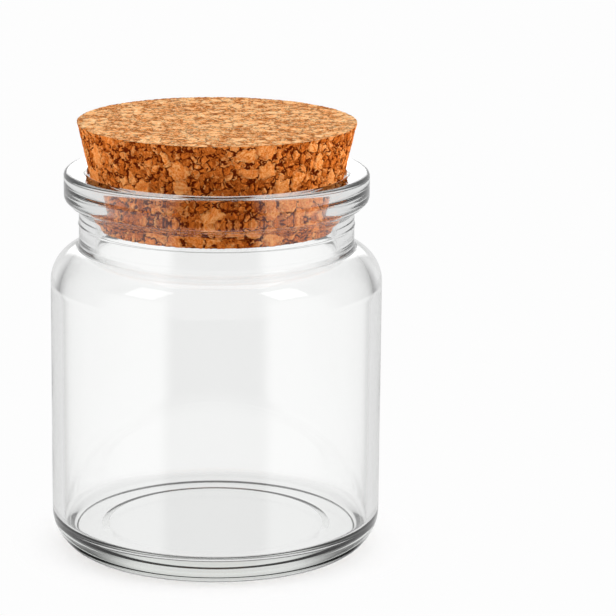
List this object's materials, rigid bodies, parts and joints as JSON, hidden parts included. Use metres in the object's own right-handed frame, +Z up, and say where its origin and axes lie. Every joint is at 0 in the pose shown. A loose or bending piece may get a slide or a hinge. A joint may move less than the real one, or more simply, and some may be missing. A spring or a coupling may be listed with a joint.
{
  "type": "cork stoppered glass jar",
  "caption": "Small clear glass storage jar with a round shoulder, a short neck and a thick rim, closed by a tapered stopper of pressed cork that lifts out.",
  "frame": {"origin": "centre of the jar's base, on the surface it stands on", "axes": "+Z up along the jar's axis, towards the stopper; the jar is round, so X and Y are free"},
  "size_m": [0.056, 0.056, 0.0729],
  "materials": {
    "clear_glass": "polished",
    "pressed_cork": "matte"
  },
  "bodies": {
    "jar": {"glass_jar": "clear_glass"},
    "stopper": {"cork_stopper": "pressed_cork"}
  },
  "joints": [
    {"name": "stopper_lift", "type": "slide", "parent": "jar", "child": "stopper", "axis": [0, 0, 1], "range_m": [0, 0.05]}
  ]
}
